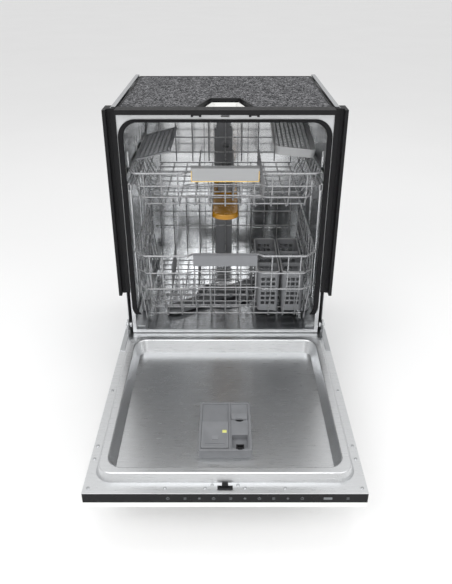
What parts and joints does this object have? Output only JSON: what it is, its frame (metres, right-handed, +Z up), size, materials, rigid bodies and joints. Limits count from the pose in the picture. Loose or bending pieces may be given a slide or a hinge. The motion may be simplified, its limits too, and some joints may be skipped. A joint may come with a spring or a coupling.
{
  "type": "built in dishwasher",
  "caption": "Built-in dishwasher with a drop-down door, sliding upper and lower racks, cutlery baskets, spray arms and a full tub.",
  "frame": {"origin": "on the floor, midway between the open door's far edge and the back, in the middle of the width", "axes": "+Z up, +Y towards the back of the machine, +X to the right seen from the front"},
  "size_m": [0.598, 1.112, 0.815],
  "materials": {
    "stainless": "brushed, semi-bright",
    "tub_steel": "bright stainless",
    "black_trim": "black, satin",
    "grey_steel": "light grey zinc",
    "base_moulding": "black moulded",
    "seal": "matt black",
    "felt": "dark melange felt",
    "duct_grey": "dark grey moulded",
    "arm_amber": "amber",
    "arm_grey": "grey moulded",
    "rack_wire": "grey nylon-coated wire",
    "handle_satin": "satin light grey with a gilt edge",
    "light_grey": "light grey moulded",
    "mid_grey": "mid grey moulded",
    "control_black": "glossy black",
    "front_board": "near-white lacquer",
    "bright_screw": "bright",
    "iron": "as cast",
    "pump_body": "dark moulded",
    "white_moulding": "white moulded",
    "circuit": "green circuit board"
  },
  "bodies": {
    "cabinet": {"levelling_feet": "base_moulding", "base_tray": "base_moulding", "kick_plate": "black_trim", "counterweight": "iron", "sump_bowl": "pump_body", "filter_assembly": "mid_grey", "circulation_pump": "pump_body", "drain_pump": "pump_body", "inlet_valve": "white_moulding", "salt_container": "white_moulding", "door_springs": "bright_screw", "tub_wrapper": "tub_steel", "tub_back": "tub_steel", "tub_floor": "tub_steel", "tub_front_frame": "grey_steel", "tub_gasket": "seal", "lower_tracks": "stainless", "upper_rails_fixed": "stainless", "spray_duct": "duct_grey", "side_panel_left": "grey_steel", "side_panel_right": "grey_steel", "side_strip_left": "black_trim", "side_strip_right": "black_trim", "top_crossbar": "black_trim", "top_mat": "felt", "latch_housing": "white_moulding", "hinge_pins": "bright_screw"},
    "door": {"door_liner": "stainless", "door_outer_panel": "grey_steel", "door_sound_mat": "felt", "furniture_panel": "front_board", "control_strip": "control_black", "control_board": "circuit", "hinge_lugs": "grey_steel", "door_latch": "black_trim", "liner_screws": "bright_screw", "dispenser_housing": "mid_grey"},
    "detergent_lid": {"detergent_lid": "mid_grey"},
    "rinse_aid_lid": {"rinse_aid_lid": "mid_grey"},
    "latch_pusher": {"latch_pusher": "mid_grey"},
    "lower_spray_arm": {"lower_spray_arm": "arm_grey"},
    "upper_rails": {"upper_rails_middle": "stainless"},
    "upper_rack": {"upper_rack_frame": "rack_wire", "upper_rack_handle": "handle_satin", "upper_feed_pipe": "duct_grey", "cutlery_tray": "light_grey"},
    "cup_shelf": {"cup_shelf": "light_grey"},
    "middle_spray_arm": {"middle_spray_arm": "arm_amber"},
    "lower_rack": {"lower_rack_frame": "rack_wire", "lower_rack_handle": "mid_grey", "cutlery_basket_left": "light_grey", "cutlery_basket_right": "light_grey", "lower_wheel_mounts": "mid_grey"},
    "tine_row_front": {"tine_row_front": "rack_wire"},
    "tine_row_rear": {"tine_row_rear": "rack_wire"},
    "wheel_front_left": {"wheel_front_left": "mid_grey"},
    "wheel_front_right": {"wheel_front_right": "mid_grey"},
    "wheel_rear_left": {"wheel_rear_left": "mid_grey"},
    "wheel_rear_right": {"wheel_rear_right": "mid_grey"}
  },
  "joints": [
    {"name": "door_hinge", "type": "hinge", "parent": "cabinet", "child": "door", "pos_m": [0, 0.063, 0.193], "axis": [1, 0, 0], "range_deg": [-90, 0]},
    {"name": "lower_rack_slide", "type": "slide", "parent": "cabinet", "child": "lower_rack", "axis": [0, -1, 0], "range_m": [0, 0.54]},
    {"name": "upper_rack_slide", "type": "slide", "parent": "cabinet", "child": "upper_rack", "axis": [0, -1, 0], "range_m": [0, 0.38]},
    {"name": "upper_rail_slide", "type": "slide", "parent": "cabinet", "child": "upper_rails", "axis": [0, -1, 0], "range_m": [0, 0.19]},
    {"name": "lower_arm_spin", "type": "hinge", "parent": "cabinet", "child": "lower_spray_arm", "pos_m": [0, 0.286, 0.18], "axis": [0, 0, 1], "continuous": true},
    {"name": "middle_arm_spin", "type": "hinge", "parent": "upper_rack", "child": "middle_spray_arm", "pos_m": [0, 0.276, 0.52], "axis": [0, 0, 1], "continuous": true},
    {"name": "cup_shelf_hinge", "type": "hinge", "parent": "upper_rack", "child": "cup_shelf", "pos_m": [-0.24, 0.258, 0.664], "axis": [0, 1, 0], "range_deg": [-70, 0]},
    {"name": "tine_row_front_fold", "type": "hinge", "parent": "lower_rack", "child": "tine_row_front", "pos_m": [0, 0.156, 0.2045], "axis": [1, 0, 0], "range_deg": [-80, 0]},
    {"name": "tine_row_rear_fold", "type": "hinge", "parent": "lower_rack", "child": "tine_row_rear", "pos_m": [0, 0.224, 0.2045], "axis": [1, 0, 0], "range_deg": [-80, 0]},
    {"name": "detergent_lid_slide", "type": "slide", "parent": "door", "child": "detergent_lid", "axis": [0, -1, 0], "range_m": [-0.055, 0]},
    {"name": "rinse_lid_hinge", "type": "hinge", "parent": "door", "child": "rinse_aid_lid", "pos_m": [0.034, -0.312, 0.1699], "axis": [1, 0, 0], "range_deg": [-75, 0]},
    {"name": "latch_pusher_slide", "type": "slide", "parent": "cabinet", "child": "latch_pusher", "axis": [0, -1, 0], "range_m": [0, 0.025]},
    {"name": "wheel_front_left_spin", "type": "hinge", "parent": "lower_rack", "child": "wheel_front_left", "pos_m": [-0.24675, 0.161, 0.2013], "axis": [1, 0, 0], "continuous": true},
    {"name": "wheel_front_right_spin", "type": "hinge", "parent": "lower_rack", "child": "wheel_front_right", "pos_m": [0.24675, 0.161, 0.2013], "axis": [1, 0, 0], "continuous": true},
    {"name": "wheel_rear_left_spin", "type": "hinge", "parent": "lower_rack", "child": "wheel_rear_left", "pos_m": [-0.24675, 0.444, 0.2013], "axis": [1, 0, 0], "continuous": true},
    {"name": "wheel_rear_right_spin", "type": "hinge", "parent": "lower_rack", "child": "wheel_rear_right", "pos_m": [0.24675, 0.444, 0.2013], "axis": [1, 0, 0], "continuous": true}
  ],
  "couplings": [
    {"joint": "upper_rail_slide", "follows": "upper_rack_slide", "ratio": 0.5}
  ]
}
